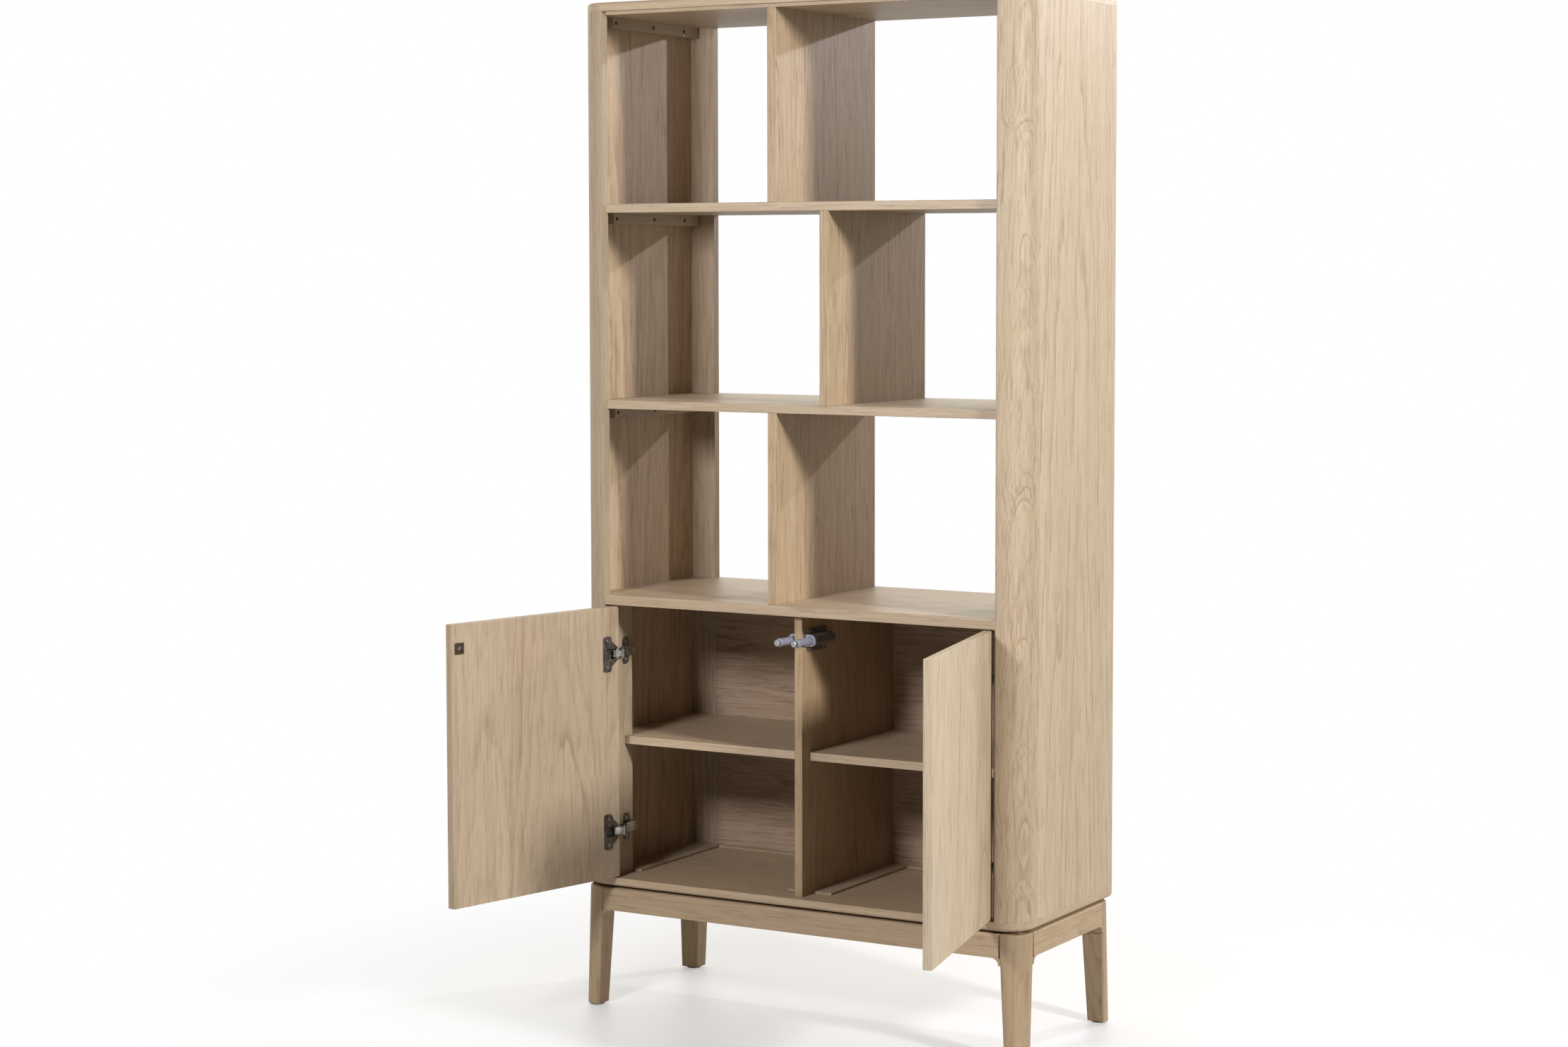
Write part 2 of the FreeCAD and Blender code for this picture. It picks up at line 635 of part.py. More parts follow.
# fixed hinge parts: arm, mounting plate, screws, pin and cover cap
plate_x = stile_face_x + plate_thickness
arm_x = stile_face_x + arm_rise
arm_tail_y = front + arm_tail
arms = []
plates = []
caps = []
hinge_pins = []
plate_screws = []
links = []
for index, z in enumerate(hinge_heights):
    screw_y = front + plate_setback
    plate = box(stile_face_x, plate_x, screw_y - wing_width / 2.0, screw_y + wing_width / 2.0,
                z - plate_half_height, z + plate_half_height)
    rounded = [(screw_y + a * wing_width / 2.0, z + b * plate_half_height) for a in (-1, 1) for b in (-1, 1)]
    plate = ease(plate, wing_width * 0.4, edge_along(0, rounded))
    ridge_front = front + hinge_stile_front + 4.0
    ridge = box(stile_face_x, arm_x - arm_thickness, ridge_front, front + hinge_stile_rear - 1.0,
                z - arm_half_height + arm_thickness + ridge_play, z + arm_half_height - arm_thickness - ridge_play)
    plate = plate.fuse(ridge).removeSplitter()
    for side in (-1, 1):
        head = V(plate_x, screw_y, z + side * plate_screw_half_spacing)
        screw = wood_screw(head, V(-1, 0, 0), plate_screw_length)
        plate = plate.cut(screw)
        left_filler = left_filler.cut(screw)
        plate_screws.append(slotted(screw, head, V(-1, 0, 0), screw_head_radius))
    # arm: channel over the ridge, cranked to the nose
    start_y = arm_tail_y
    crank_y = front + arm_crank
    neck_y = nose.y + arm_neck
    neck_x = nose.x - barrel_radius + 0.4
    path = [V(arm_x, start_y, 0), V(arm_x, crank_y, 0), V(neck_x, neck_y, 0),
            V(nose.x + barrel_radius - arm_thickness, nose.y + 4.0, 0)]
    outer = [V(arm_x - arm_thickness, start_y, 0), V(arm_x - arm_thickness, crank_y - 1.0, 0),
             V(neck_x - arm_thickness, neck_y - 1.0, 0),
             V(nose.x + barrel_radius - 2 * arm_thickness, nose.y + 4.0, 0)]
    loop = [V(p.x, p.y, z - arm_half_height) for p in path + outer[::-1]]
    web = Part.Face(Part.makePolygon(loop + [loop[0]])).extrude(V(0, 0, 2 * arm_half_height))
    cheeks = []
    for low in (z - arm_half_height, z + arm_half_height - arm_thickness):
        # each cheek follows the bent web and ends in an ear round the pin
        pts = [V(arm_x - 0.4, start_y - 3.0, low), V(arm_x - 0.4, crank_y - 0.5, low),
               V(neck_x - 1.0, neck_y - 1.0, low), V(nose.x + 0.8, nose.y + 3.2, low),
               V(nose.x - 1.6, nose.y + 1.6, low), V(neck_x - 5.0, neck_y - 3.0, low),
               V(arm_x - arm_cheek_drop, crank_y - 4.0, low), V(arm_x - arm_cheek_drop, start_y - 3.0, low)]
        cheek = Part.Face(Part.makePolygon(pts + [pts[0]])).extrude(V(0, 0, arm_thickness))
        ear = Part.makeCylinder(barrel_radius, arm_thickness, V(nose.x, nose.y, low), V(0, 0, 1))
        neck = Part.Face(Part.makePolygon([
            V(nose.x - barrel_radius, nose.y, low), V(nose.x + barrel_radius, nose.y, low),
            V(nose.x + barrel_radius - arm_thickness, nose.y + 6.0, low),
            V(nose.x - barrel_radius - 1.5, nose.y + 6.0, low),
            V(nose.x - barrel_radius, nose.y, low)])).extrude(V(0, 0, arm_thickness))
        cheeks.append(cheek.fuse(neck).fuse(ear))
    arm = web.fuse(cheeks[0]).fuse(cheeks[1]).removeSplitter()
    pin = Part.makeCylinder(hinge_pin_radius, 2 * arm_half_height, V(nose.x, nose.y, z - arm_half_height),
                            V(0, 0, 1))
    arm = arm.cut(pin)
    tail_head = V(arm_x, front + hinge_stile_rear - 8.0, z)
    tail_screw = wood_screw(tail_head, V(-1, 0, 0), arm_rise, arm_screw_head_radius)
    arm = arm.cut(tail_screw)
    plate = plate.cut(tail_screw)
    adjust_head = V(arm_x, crank_y + 4.0, z)
    adjust = wood_screw(adjust_head, V(-1, 0, 0), arm_rise - 1.0, arm_screw_head_radius)
    arm = arm.cut(adjust)
    plate = plate.cut(adjust)
    plate_screws.append(slotted(tail_screw, tail_head, V(-1, 0, 0), arm_screw_head_radius))
    plate_screws.append(slotted(adjust, adjust_head, V(-1, 0, 0), arm_screw_head_radius))
    # link: barrel round the pin and a leaf that reaches into the cup
    leaf = box(nose.x - link_length, nose.x, nose.y - link_thickness / 2.0, nose.y + link_thickness / 2.0,
               z - link_half_height, z + link_half_height)
    barrel = Part.makeCylinder(barrel_radius, 2 * link_half_height - 1.2,
                               V(nose.x, nose.y, z - link_half_height + 0.6), V(0, 0, 1))
    inside = Part.makeCylinder(barrel_radius - 0.2, 2 * arm_half_height, V(nose.x, nose.y, z - arm_half_height),
                               V(0, 0, 1))
    leaf = leaf.cut(inside)
    tip = Part.makeCylinder(link_thickness * 0.8, 2 * link_half_height, V(nose.x - link_length, nose.y,
                                                                         z - link_half_height), V(0, 0, 1))
    link = leaf.fuse(barrel).fuse(tip)
    pin_space = Part.makeCylinder(hinge_pin_radius + link_play, 2 * arm_half_height,
                                  V(nose.x, nose.y, z - arm_half_height), V(0, 0, 1))
    link = link.cut(pin_space)
    links.append(turned(link.removeSplitter(), nose, door_open_angle * link_ratio))
    arms.append(arm)
    plates.append(plate)
    hinge_pins.append(pin)
    if index == 0:
        # clip-on cover over the front of the lower hinge's arm
        cap = box(arm_x, arm_x + cap_thickness, crank_y, crank_y + cap_length,
                  z - arm_half_height, z + arm_half_height)
        cap = ease(cap, cap_thickness * 0.4, edge_along(1, [(arm_x + cap_thickness, z - arm_half_height),
                                                            (arm_x + cap_thickness, z + arm_half_height)]))
        caps.append(cap)


def both_sides(name, shapes):
    nodes["left_" + name] = group(shapes)
    nodes["right_" + name] = group([mirrored(s) for s in shapes])


both_sides("hinge_links", links)
nodes["hinge_arms"] = group(arms + [mirrored(s) for s in arms])
nodes["hinge_mounting_plates"] = group(plates + [mirrored(s) for s in plates])
right_filler = mirrored(left_filler)

# push latches on the two faces of the centre divider
housing_x1 = -centre_divider_thickness / 2.0
housing_x0 = housing_x1 - 2 * latch_axis_offset
mouth_y = front + housing_front
housing_end = mouth_y + housing_length
bore_radius = plunger_radius + plunger_play
housing = box(housing_x0, housing_x1, mouth_y, housing_end, latch_height - housing_half_height,
              latch_height + housing_half_height)
housing = ease(housing, housing_round, edge_along(1, [(housing_x0, latch_height - housing_half_height),
                                            (housing_x0, latch_height + housing_half_height)]))
base_plate = box(housing_x1 - housing_base_thickness, housing_x1, mouth_y + housing_base_inset,
                 housing_end - housing_base_inset, latch_height - housing_base_half_height,
                 latch_height + housing_base_half_height)
housing = housing.fuse(base_plate)
housing = housing.cut(Part.makeCylinder(bore_radius, housing_length - housing_wall,
                                        V(latch_x, mouth_y, latch_height), V(0, 1, 0)))
housing = housing.removeSplitter()
latch_screws = []
for y, z in ((mouth_y + latch_screw_inset, latch_height + latch_screw_offset),
             (housing_end - latch_screw_inset, latch_height - latch_screw_offset)):
    head = V(housing_x1 - housing_base_thickness, y, z)
    screw = wood_screw(head, V(1, 0, 0), housing_base_thickness + centre_divider_thickness * 0.4,
                       small_screw_head_radius, small_screw_shank_radius)
    housing = housing.cut(screw)
    centre_divider = centre_divider.cut(screw)
    centre_divider = centre_divider.cut(mirrored(screw))
    latch_screws.append(slotted(screw, head, V(1, 0, 0), small_screw_head_radius))
latch_screws += [mirrored(s) for s in latch_screws]

tip_y = front + plunger_tip_front
pressed_tip_y = strike_y + strike_clearance
plunger_travel = pressed_tip_y - tip_y
plunger_start = tip_y + magnet_length
plunger_end = housing_end - housing_wall - plunger_travel - spring_room
plunger = Part.makeCylinder(plunger_radius, plunger_end - plunger_start, V(latch_x, plunger_start, latch_height),
                            V(0, 1, 0))
plunger = ease(plunger, 1.2, lambda e: abs(e.Vertexes[0].Point.y - plunger_start) < 0.01 and len(e.Vertexes) == 1)
magnet = Part.makeCylinder(magnet_radius, magnet_length + magnet_tail, V(latch_x, tip_y, latch_height),
                           V(0, 1, 0))
magnet = ease(magnet, 1.0, lambda e: abs(e.Vertexes[0].Point.y - tip_y) < 0.01 and len(e.Vertexes) == 1)
plunger = plunger.cut(magnet)
nodes["latch_housings"] = group([housing, mirrored(housing)])
both_sides("latch_plunger", [plunger])
both_sides("latch_magnet", [magnet])

# legs: tapered, round outside corner, small hollow shoulders under the rails
leg_x1 = -half + leg_top


def leg_section(size, radius, z):
    return rounded_outline(-half, -half + size, front, front + size,
                           [radius, leg_small_radius, leg_small_radius, leg_small_radius], z)


leg_shape = Part.makeLoft([leg_section(leg_bottom, leg_bottom_radius, glide_height),
                           leg_section(leg_top, leg_top_radius, leg_height)], True, True)
leg_shape = ease(leg_shape, base_edge_round, lambda e: all(abs(v.Point.z - leg_height) < 0.01 for v in e.Vertexes))
shoulder_z = rail_bottom - gusset_radius
for along_x in (True, False):
    inner = leg_top - 4.0
    if along_x:
        block = box(-half + inner, -half + leg_top + gusset_radius, front, front + rail_thickness,
                    shoulder_z, rail_bottom)
        hollow = Part.makeCylinder(gusset_radius, rail_thickness + 2.0,
                                   V(-half + leg_top + gusset_radius, front - 1.0, shoulder_z), V(0, 1, 0))
    else:
        block = box(-half, -half + rail_thickness, front + inner, front + leg_top + gusset_radius,
                    shoulder_z, rail_bottom)
        hollow = Part.makeCylinder(gusset_radius, rail_thickness + 2.0,
                                   V(-half - 1.0, front + leg_top + gusset_radius, shoulder_z), V(1, 0, 0))
    leg_shape = leg_shape.fuse(block.cut(hollow))
leg_shape = leg_shape.removeSplitter()
front_rail = box(-half + leg_top, half - leg_top, front, front + rail_thickness, rail_bottom, leg_height)
front_rail = ease(front_rail, base_edge_round, edge_along(0, [(front, leg_height)]))
side_rail = box(-half, -half + rail_thickness, front + leg_top, rear - leg_top, rail_bottom, leg_height)
side_rail = ease(side_rail, base_edge_round, edge_along(1, [(-half, leg_height)]))
leg_shape = leg_shape.cut(box(-half + leg_top, 0, front - 1, front + rail_thickness, rail_bottom, leg_height + 1))
leg_shape = leg_shape.cut(box(-half - 1, -half + rail_thickness, front + leg_top, 0, rail_bottom, leg_height + 1))

# dowels between rails and legs, and between legs and the bottom board
base_dowels = []
rail_mid = front + rail_thickness / 2.0
side_mid = -half + rail_thickness / 2.0
leg_pegs = []
peg_start = leg_top - leg_dowel_length * 0.375
for z in (rail_bottom + rail_height * 0.29, leg_height - rail_height * 0.29):
    leg_pegs.append(dowel(V(-half + peg_start, rail_mid, z), V(1, 0, 0), leg_dowel_length))
    leg_pegs.append(dowel(V(side_mid, front + peg_start, z), V(0, 1, 0), leg_dowel_length))
stub = dowel(V(-half + leg_top * 0.62, front + leg_top * 0.62, leg_height - leg_dowel_reach), V(0, 0, 1),
             leg_dowel_reach + spacer_height + dowel_bite)
leg_pegs.append(stub)
leg_shape = cut_all(leg_shape, leg_pegs)


def four_corners(shape):
    other = shape.mirror(V(0, 0, 0), V(0, 1, 0))
    return [shape, mirrored(shape), other, mirrored(other)]


leg_list = four_corners(leg_shape)
for peg in leg_pegs:
    for copy in four_corners(peg):
        base_dowels.append(copy)
        front_rail = front_rail.cut(copy)
        side_rail = side_rail.cut(copy)
        bottom_board = bottom_board.cut(copy)

rear_rail = front_rail.mirror(V(0, 0, 0), V(0, 1, 0))
right_rail = mirrored(side_rail)

spacer_x = half - spacer_recess
spacer_y = rear - spacer_recess
spacer_strips = [
    box(-spacer_x, spacer_x, -spacer_y, -spacer_y + spacer_width, leg_height, bottom_underside),
    box(-spacer_x, spacer_x, spacer_y - spacer_width, spacer_y, leg_height, bottom_underside),
    box(-spacer_x, -spacer_x + spacer_width, -spacer_y + spacer_width, spacer_y - spacer_width, leg_height,
        bottom_underside),
    box(spacer_x - spacer_width, spacer_x, -spacer_y + spacer_width, spacer_y - spacer_width, leg_height,
        bottom_underside),
]
base_screws = []
base_screw_x = (half - leg_top) * base_screw_share
for x in (-base_screw_x, 0.0, base_screw_x):
    for y in (front + base_screw_inset, rear - base_screw_inset):
        head = V(x, y, rail_bottom)
        screw = wood_screw(head, V(0, 0, 1), rail_height + spacer_height + bottom_thickness * 0.7)
        base_screws.append(slotted(screw, head, V(0, 0, 1), screw_head_radius))
        front_rail = front_rail.cut(screw)
        rear_rail = rear_rail.cut(screw)
        bottom_board = bottom_board.cut(screw)

spacer_strips = [cut_all(strip, base_dowels + base_screws) for strip in spacer_strips]

glide = Part.makeCylinder(glide_radius, glide_height,
                          V(-half + leg_bottom / 2.0 + glide_inset, front + leg_bottom / 2.0 + glide_inset, 0),
                          V(0, 0, 1))
glides = four_corners(glide)

nodes.update({
    "top_panel": top_panel,
    "bottom_board": bottom_board,
    "left_front_post": left_post,
    "right_front_post": right_post,
    "left_side_panel": left_side,
    "right_side_panel": right_side,
    "left_rear_stile": left_stile,
    "right_rear_stile": right_stile,
    "upper_shelf": upper_shelf,
    "middle_shelf": middle_shelf,
    "cabinet_top_shelf": cabinet_top,
    "top_row_divider": top_row_divider,
    "middle_row_divider": middle_row_divider,
    "lower_row_divider": lower_row_divider,
    "centre_divider": centre_divider,
    "cabinet_back_panel": back_panel,
    "left_inner_shelf": left_inner_shelf,
    "right_inner_shelf": right_inner_shelf,
    "left_hinge_stile": left_filler,
    "right_hinge_stile": right_filler,
    "cabinet_floor_battens": group([left_batten, right_batten, left_middle_batten, right_middle_batten,
                                    left_rear_batten, right_rear_batten]),
    "cleat_screws": group(cleat_screws),
    "wooden_dowels": group(divider_dowels + case_dowels + base_dowels),
    "case_screws": group(case_screws + base_screws),
    "shelf_pins": group(shelf_pins),
    "hinge_plate_screws": group(plate_screws + [mirrored(s) for s in plate_screws]),
    "hinge_pins": group(hinge_pins + [mirrored(s) for s in hinge_pins]),
    "hinge_cover_caps": group(caps + [mirrored(s) for s in caps]),
    "latch_screws": group(latch_screws),
    "front_rail": front_rail,
    "rear_rail": rear_rail,
    "left_side_rail": side_rail,
    "right_side_rail": right_rail,
    "front_left_leg": leg_list[0],
    "front_right_leg": leg_list[1],
    "rear_left_leg": leg_list[2],
    "rear_right_leg": leg_list[3],
    "base_spacer": group(spacer_strips),
    "foot_glides": group(glides),
})
nodes.update(cleats)

# the origin lies on the floor, midway between the open doors' front and the rear of the case
outline_front = min(shape.optimalBoundingBox().YMin for shape in nodes.values())
origin_shift = V(0, -(outline_front + rear) / 2.0, 0)

os.makedirs("parts", exist_ok=True)
for name, shape in nodes.items():
    placed = shape.copy()
    placed.translate(origin_shift)
    placed.exportStep("parts/" + name + ".step")
print(len(nodes), "nodes, plunger travel", round(plunger_travel, 3), "shift", origin_shift, "nose", nose)
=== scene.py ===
import bmesh
import bpy
import json
import math
import random
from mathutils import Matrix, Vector


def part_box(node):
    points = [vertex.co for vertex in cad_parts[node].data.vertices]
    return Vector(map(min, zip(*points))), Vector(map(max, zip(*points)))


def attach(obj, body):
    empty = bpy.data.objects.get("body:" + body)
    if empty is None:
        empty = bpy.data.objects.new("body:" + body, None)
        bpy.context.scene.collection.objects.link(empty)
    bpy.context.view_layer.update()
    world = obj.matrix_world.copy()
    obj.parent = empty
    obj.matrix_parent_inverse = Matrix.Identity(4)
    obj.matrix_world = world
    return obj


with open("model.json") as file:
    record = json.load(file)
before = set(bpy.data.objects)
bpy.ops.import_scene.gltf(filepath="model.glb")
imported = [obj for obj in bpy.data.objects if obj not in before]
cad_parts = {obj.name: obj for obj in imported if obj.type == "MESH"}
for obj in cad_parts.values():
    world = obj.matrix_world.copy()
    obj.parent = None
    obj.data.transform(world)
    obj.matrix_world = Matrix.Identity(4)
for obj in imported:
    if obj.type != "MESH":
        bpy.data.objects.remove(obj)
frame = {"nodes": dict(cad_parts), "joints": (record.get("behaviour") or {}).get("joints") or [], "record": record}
nodes = frame["nodes"]
joints = {joint["name"]: joint for joint in frame["joints"]}
ratios = {row["joint"]: row["ratio"] for row in frame["record"]["behaviour"]["couplings"]}
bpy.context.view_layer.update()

# The case's middle line in depth, because the origin lies further forward.
top_low, top_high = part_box("top_panel")
MIDDLE = (top_low.y + top_high.y) / 2

X, Y, Z = Vector((1, 0, 0)), Vector((0, 1, 0)), Vector((0, 0, 1))

# The doors stand open at rest, and are shut when they have turned by this angle
DOOR_SWING = math.radians(joints["left_door_hinge"]["range_deg"][1])


def place(x, y, z):
    """A point given from the case's middle line in depth."""
    return Vector((x, y + MIDDLE, z))


# Shader graphs
class Graph:
    """A small helper that adds shader nodes and links them."""

    def __init__(self, name):
        self.material = bpy.data.materials.new(name)
        self.material.use_nodes = True
        self.tree = self.material.node_tree
        self.tree.nodes.clear()
        self.out = self.tree.nodes.new("ShaderNodeOutputMaterial")
        self.shader = self.tree.nodes.new("ShaderNodeBsdfPrincipled")
        self.tree.links.new(self.shader.outputs[0], self.out.inputs[0])
        coordinates = self.tree.nodes.new("ShaderNodeTexCoord")
        self.place = coordinates.outputs["Object"]

    def put(self, value, socket):
        """Links another node's output to the socket, or sets the socket's own value."""
        if isinstance(value, bpy.types.NodeSocket):
            self.tree.links.new(value, socket)
        elif isinstance(value, (tuple, list, Vector)):
            value = list(value)
            if len(socket.default_value) == 4 and len(value) == 3:
                value.append(1.0)
            socket.default_value = value
        else:
            socket.default_value = value

    def math(self, operation, a, b=0.0):
        node = self.tree.nodes.new("ShaderNodeMath")
        node.operation = operation
        for value, socket in zip((a, b), node.inputs):
            self.put(value, socket)
        return node.outputs[0]

    def vector_math(self, operation, *values):
        node = self.tree.nodes.new("ShaderNodeVectorMath")
        node.operation = operation
        for value, socket in zip(values, node.inputs):
            self.put(value, socket)
        return node

    def dot(self, a, b):
        return self.vector_math("DOT_PRODUCT", a, b).outputs["Value"]

    def vector(self, x, y, z):
        node = self.tree.nodes.new("ShaderNodeCombineXYZ")
        for value, socket in zip((x, y, z), node.inputs):
            self.put(value, socket)
        return node.outputs[0]

    def noise(self, vector, scale=1.0, detail=2.0, rough=0.5, kind="3D"):
        node = self.tree.nodes.new("ShaderNodeTexNoise")
        node.noise_dimensions = kind
        if kind == "1D":
            self.put(vector, node.inputs["W"])
        else:
            self.put(vector, node.inputs["Vector"])
        node.inputs["Scale"].default_value = scale
        node.inputs["Detail"].default_value = detail
        node.inputs["Roughness"].default_value = rough
        return node.outputs["Fac"]

    def white(self, value):
        node = self.tree.nodes.new("ShaderNodeTexWhiteNoise")
        node.noise_dimensions = "1D"
        self.put(value, node.inputs["W"])
        return node.outputs["Value"]

    def span(self, value, low, high, to_low=0.0, to_high=1.0, smooth=False):
        """Maps low..high onto to_low..to_high, and holds the ends beyond them."""
        node = self.tree.nodes.new("ShaderNodeMapRange")
        node.clamp = True
        node.interpolation_type = "SMOOTHSTEP" if smooth else "LINEAR"
        for v, socket in zip((value, low, high, to_low, to_high), node.inputs):
            self.put(v, socket)
        return node.outputs[0]

    def ramp(self, value, stops):
        node = self.tree.nodes.new("ShaderNodeValToRGB")
        self.put(value, node.inputs[0])
        points = node.color_ramp.elements
        while len(points) < len(stops):
            points.new(0.5)
        for point, (position, colour) in zip(points, stops):
            point.position = position
            point.color = list(colour) + [1.0]
        return node.outputs[0]

    def mix(self, factor, a, b):
        node = self.tree.nodes.new("ShaderNodeMix")
        node.data_type = "RGBA"
        node.blend_type = "MIX"
        self.put(factor, node.inputs[0])
        self.put(a, node.inputs[6])
        self.put(b, node.inputs[7])
        return node.outputs[2]

    def bump(self, height, distance, strength=1.0, normal=None):
        node = self.tree.nodes.new("ShaderNodeBump")
        node.inputs["Strength"].default_value = strength
        node.inputs["Distance"].default_value = distance
        self.put(height, node.inputs["Height"])
        if normal is not None:
            self.put(normal, node.inputs["Normal"])
        return node.outputs[0]

    def soft_edge(self, radius):
        """A normal that is rounded near edges."""
        node = self.tree.nodes.new("ShaderNodeBevel")
        node.samples = 4
        node.inputs["Radius"].default_value = radius
        return node.outputs[0]


def linear(r, g, b):
    """Light values for a colour given as screen values from 0 to 255."""
    def one(v):
        v = v / 255.0
        return v / 12.92 if v <= 0.04045 else ((v + 0.055) / 1.055) ** 2.4
    return (one(r), one(g), one(b))


# Oak. The screen colours below are scaled by these shares of red, green and blue.
OAK_DEPTH = (0.62, 0.60, 0.565)
SEAM_WIDTH = 0.0006
SEAM_DARKNESS = 0.35
GRAIN_RELIEF = 0.00035
WOOD_EDGE = 0.0009


def oak(name, along, across, tint=(1.0, 1.0, 1.0), stave=0.095, ring=0.0030, figure=1.0,
        rift=0.05, contrast=1.0, wild=1.0, gloss=0.30):
    """Whitewashed oak. Growth rings lie round a pith line under each stave, so that wide
    faces show arched figure and edges show straight lines. along is the way of the grain,
    and across the way from stave to stave. stave and ring are widths in metres, figure and
    wild bend the rings, rift moves the pith to one side, contrast darkens the grain, tint
    scales the colour, and gloss is the specular level. The tint is mostly matched to how
    each board is lit, so it carries painted light and painted shade besides the wood's tone."""
    rand = random.Random(name)
    along, across = Vector(along).normalized(), Vector(across).normalized()
    deep = along.cross(across)
    g = Graph(name + "_oak")
    a = g.math("ADD", g.dot(g.place, along), rand.uniform(2, 9))
    c = g.math("ADD", g.dot(g.place, across), 4.0)
    d = g.dot(g.place, deep)

    # staves glued side by side, each with its own figure and tone
    number = g.math("FLOOR", g.math("DIVIDE", c, stave))
    seed = rand.uniform(3, 90)
    key = g.math("ADD", number, seed)
    r1 = g.white(key)
    r2 = g.white(g.math("ADD", key, 17.31))
    r3 = g.white(g.math("ADD", key, 43.77))
    inside = g.math("SUBTRACT", g.math("FRACT", g.math("DIVIDE", c, stave)), 0.5)

    # slow wander of the grain, different in every stave
    def stretched(across_scale, along_scale, offset, seed_value):
        return g.vector(g.math("MULTIPLY", c, across_scale), g.math("MULTIPLY", d, across_scale),
                        g.math("ADD", g.math("MULTIPLY", a, along_scale),
                               g.math("MULTIPLY", seed_value, offset)))

    wander = g.math("SUBTRACT", g.noise(stretched(7.0, 2.0 * wild, 31.0, r1), 1.0, 2.0, 0.45), 0.5)
    waver = g.math("SUBTRACT", g.noise(stretched(40.0, 11.0, 17.0, r2), 1.0, 3.0, 0.55), 0.5)

    # distance from the pith: it lies off to one side where the stave is rift sawn
    side = g.math("MULTIPLY", g.math("SUBTRACT", r2, 0.5), rift * 2.6)
    from_pith = g.math("ADD", g.math("MULTIPLY", inside, stave), side)
    pith_depth = rand.uniform(0.022, 0.034)
    depth = g.math("ADD", d, g.math("ADD", pith_depth, g.math("MULTIPLY", r3, 0.02)))
    radius = g.math("SQRT", g.math("ADD", g.math("MULTIPLY", from_pith, from_pith),
                                   g.math("MULTIPLY", depth, depth)))
    taper = g.math("MULTIPLY", g.math("SUBTRACT", a, g.math("MULTIPLY", r1, 5.0)), 0.016 * figure)
    grown = g.math("ADD", radius, taper)
    grown = g.math("ADD", grown, g.math("MULTIPLY", wander, 0.014 * figure))
    grown = g.math("ADD", grown, g.math("MULTIPLY", waver, 0.0030))
    # rings are not equally wide
    phase = g.math("DIVIDE", grown, ring)
    uneven = g.noise(g.math("MULTIPLY", phase, 0.37), 1.0, 2.0, 0.6, "1D")
    phase = g.math("ADD", phase, g.math("MULTIPLY", uneven, 1.8))
    turn = g.math("FRACT", phase)
    strength = g.white(g.math("FLOOR", phase))
    band = g.ramp(turn, [(0.0, (0.5, 0.5, 0.5)), (0.06, (1, 1, 1)), (0.20, (0.5, 0.5, 0.5)),
                         (0.42, (0.12, 0.12, 0.12)), (0.95, (0.0, 0.0, 0.0)), (1.0, (0.5, 0.5, 0.5))])
    band = g.math("MULTIPLY", g.dot(band, (0.333, 0.333, 0.333)),
                  g.span(strength, 0.0, 1.0, 0.2, 1.0))
    # the early wood is clear in some lengths and faint in others
    clear = g.noise(stretched(60.0, 14.0, 29.0, r3), 1.0, 2.0, 0.5)
    band = g.math("MULTIPLY", band, g.span(clear, 0.3, 0.65, 0.25, 1.0))

    # long open pores, gathered in the early part of each ring
    pores = g.span(g.noise(stretched(1300.0, 55.0, 1.0, r1), 1.0, 1.0, 0.5), 0.50, 0.74)
    tiny = g.noise(stretched(2600.0, 150.0, 1.0, r1), 1.0, 2.0, 0.6)
    pores = g.math("MULTIPLY", pores, g.math("ADD", g.math("MULTIPLY", band, 0.8), 0.25))

    # fine lines, broad streaks along the grain, and clouds left by the wash
    def bent(across_scale, along_scale, bend, offset, seed_value):
        moved = g.math("ADD", g.math("MULTIPLY", c, across_scale),
                       g.math("MULTIPLY", wander, bend * figure))
        moved = g.math("ADD", moved, g.math("MULTIPLY", waver, bend * 0.22))
        return g.vector(moved, g.math("MULTIPLY", d, across_scale),
                        g.math("ADD", g.math("MULTIPLY", a, along_scale),
                               g.math("MULTIPLY", seed_value, offset)))

    hair = g.noise(bent(300.0, 9.0, 6.0, 57.0, r1), 1.0, 2.0, 0.6)
    fleck = g.noise(bent(150.0, 16.0, 4.0, 41.0, r2), 1.0, 2.0, 0.55)
    streak = g.noise(bent(75.0, 2.6, 2.5, 23.0, r3), 1.0, 3.0, 0.6)
    clouds = g.vector(g.math("MULTIPLY", c, 8.0), g.math("MULTIPLY", d, 8.0),
                      g.math("MULTIPLY", a, 3.0))
    cloud = g.noise(clouds, 1.0, 3.0, 0.55)

    def toned(r, gg, b):
        return tuple(v * t * k for v, t, k in zip(linear(r, gg, b), tint, OAK_DEPTH))

    pale = g.mix(g.span(streak, 0.30, 0.70), toned(209, 188, 160), toned(220, 201, 175))
    pale = g.mix(g.math("MULTIPLY", r3, 0.45), pale, toned(203, 181, 152))
    pale = g.mix(g.span(cloud, 0.35, 0.75, 0.0, 0.35), pale, toned(212, 197, 177))
    dark = g.mix(r1, toned(162, 135, 104), toned(154, 132, 108))
    # each dark layer: where it lies, how much of it shows, and its screen colour
    layers = ((band, 0.62, dark),
              (g.span(hair, 0.50, 0.76), 0.44, toned(156, 131, 103)),
              (g.span(fleck, 0.56, 0.76), 0.38, toned(152, 128, 102)),
              (g.span(streak, 0.58, 0.82), 0.34, toned(166, 143, 119)),
              (pores, 0.45, toned(134, 110, 86)))
    colour = pale
    for where, share, tone in layers:
        colour = g.mix(g.math("MULTIPLY", where, share * contrast), colour, tone)
    colour = g.mix(g.span(tiny, 0.60, 0.86, 0.0, 0.22), colour, toned(142, 118, 92))
